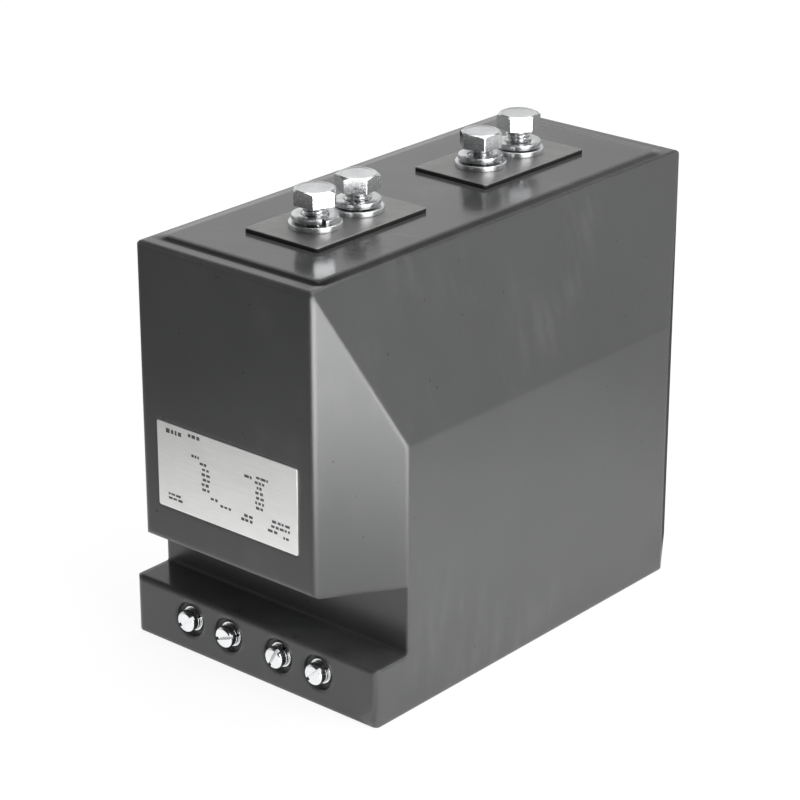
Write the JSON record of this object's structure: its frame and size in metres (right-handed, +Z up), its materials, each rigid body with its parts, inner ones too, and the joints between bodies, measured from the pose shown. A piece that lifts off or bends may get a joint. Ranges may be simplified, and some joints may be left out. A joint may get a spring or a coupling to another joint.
{
  "type": "current transformer",
  "caption": "Indoor cast resin block current transformer with flat bolted primary terminals on top and a ledge of screw terminals below a slot in front.",
  "frame": {"origin": "bottom centre of the block's bounding box, on the surface it stands on", "axes": "+X across the width, +Y from the nameplate and terminal ledge end to the rear end, +Z up"},
  "size_m": [0.148, 0.2603, 0.2234],
  "materials": {
    "resin": "dark grey cast epoxy resin, glossy",
    "terminal_metal": "tinned flat plate, dull",
    "zinc_steel": "zinc plated steel, bright",
    "copper": "bare copper",
    "brass": "turned brass",
    "core_steel": "wound steel strip",
    "coil_tape": "varnished tape over copper wire",
    "lead_sleeve": "sleeved copper lead",
    "nameplate": "satin aluminium with plain dark marks"
  },
  "bodies": {
    "root": {"resin_body": "resin", "front_terminal_plate": "terminal_metal", "rear_terminal_plate": "terminal_metal", "primary_bar": "copper", "primary_bushes": "brass", "primary_flat_washers": "zinc_steel", "primary_spring_washers": "zinc_steel", "primary_bolts": "zinc_steel", "measuring_core": "core_steel", "measuring_winding": "coil_tape", "protection_core": "core_steel", "protection_winding": "coil_tape", "measuring_lead_start": "lead_sleeve", "measuring_lead_end": "lead_sleeve", "protection_lead_start": "lead_sleeve", "protection_lead_end": "lead_sleeve", "secondary_bushes": "brass", "secondary_flat_washers": "zinc_steel", "secondary_spring_washers": "zinc_steel", "secondary_screws": "zinc_steel", "base_inserts": "brass", "nameplate": "nameplate"}
  },
  "joints": []
}
